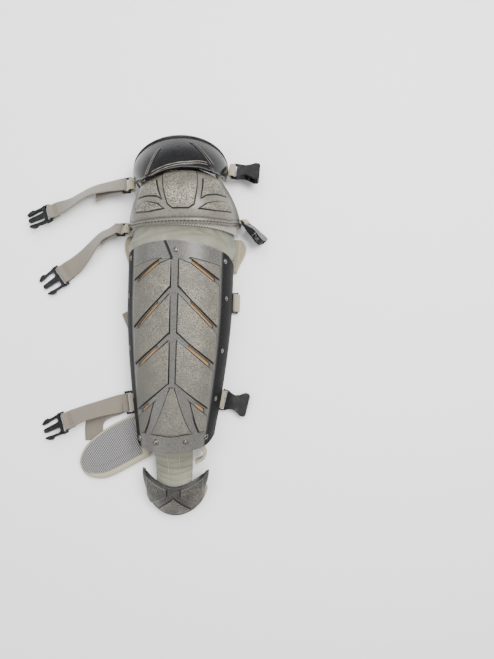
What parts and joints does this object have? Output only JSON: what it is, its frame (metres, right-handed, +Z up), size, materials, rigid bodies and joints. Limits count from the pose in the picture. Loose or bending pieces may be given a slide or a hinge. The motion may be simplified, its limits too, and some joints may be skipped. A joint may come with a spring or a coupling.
{
  "type": "catcher leg guard",
  "caption": "Arched leg guard with a ribbed shin plate, domed knee, thigh crescent, toe shield, padded liners and straps with side release buckles.",
  "frame": {"origin": "bottom centre of the whole guard's box, on the floor it lies on", "axes": "+Y along the leg toward the thigh, +Z up out of the plates' front, +X toward the side with the receiving buckles"},
  "size_m": [0.4016, 0.607, 0.1142],
  "materials": {
    "worn_plastic": "textured dark grey plastic, scuffed to tan on the raised panels",
    "gloss_plastic": "smooth glossy black with fine scratches",
    "leatherette": "soft sage leatherette with light folds",
    "mesh_fabric": "grey spacer mesh with a cream binding",
    "cream_fabric": "cream woven cloth",
    "liner_foam": "tan cloth over foam",
    "webbing": "woven taupe webbing",
    "black_plastic": "moulded black plastic with a satin sheen",
    "rivet_metal": "dull worn metal"
  },
  "bodies": {
    "root": {"shin_plate": "worn_plastic", "knee_plate": "worn_plastic", "toe_plate": "worn_plastic", "thigh_plate": "gloss_plastic", "knee_gusset": "leatherette", "toe_tab": "leatherette", "knee_mesh": "mesh_fabric", "ankle_wing": "mesh_fabric", "thigh_pad": "cream_fabric", "toe_pad": "cream_fabric", "side_pad_left": "cream_fabric", "side_pad_right": "cream_fabric", "ankle_roll": "cream_fabric", "strap_thigh_loop": "cream_fabric", "strap_knee_loop": "cream_fabric", "strap_ankle_loop": "cream_fabric", "strap_thigh_catch_loop": "cream_fabric", "strap_knee_catch_loop": "cream_fabric", "strap_calf_catch_loop": "cream_fabric", "strap_ankle_catch_loop": "cream_fabric", "shin_pad": "liner_foam", "knee_pad": "liner_foam", "strap_thigh": "webbing", "strap_knee": "webbing", "strap_calf": "webbing", "strap_ankle": "webbing", "strap_thigh_slide": "black_plastic", "strap_knee_slide": "black_plastic", "strap_ankle_slide": "black_plastic", "strap_thigh_male_buckle": "black_plastic", "strap_knee_male_buckle": "black_plastic", "strap_calf_male_buckle": "black_plastic", "strap_ankle_male_buckle": "black_plastic", "strap_thigh_female_buckle": "black_plastic", "strap_knee_female_buckle": "black_plastic", "strap_calf_female_buckle": "black_plastic", "strap_ankle_female_buckle": "black_plastic", "rivet_top": "rivet_metal", "rivet_upper_left": "rivet_metal", "rivet_upper_right": "rivet_metal", "rivet_middle_left": "rivet_metal", "rivet_middle_right": "rivet_metal", "rivet_lower_left": "rivet_metal", "rivet_lower_right": "rivet_metal", "rivet_corner_left": "rivet_metal", "rivet_corner_right": "rivet_metal", "rivet_bottom_left": "rivet_metal", "rivet_bottom_right": "rivet_metal", "eyelet_left": "rivet_metal", "eyelet_right": "rivet_metal"}
  },
  "joints": []
}
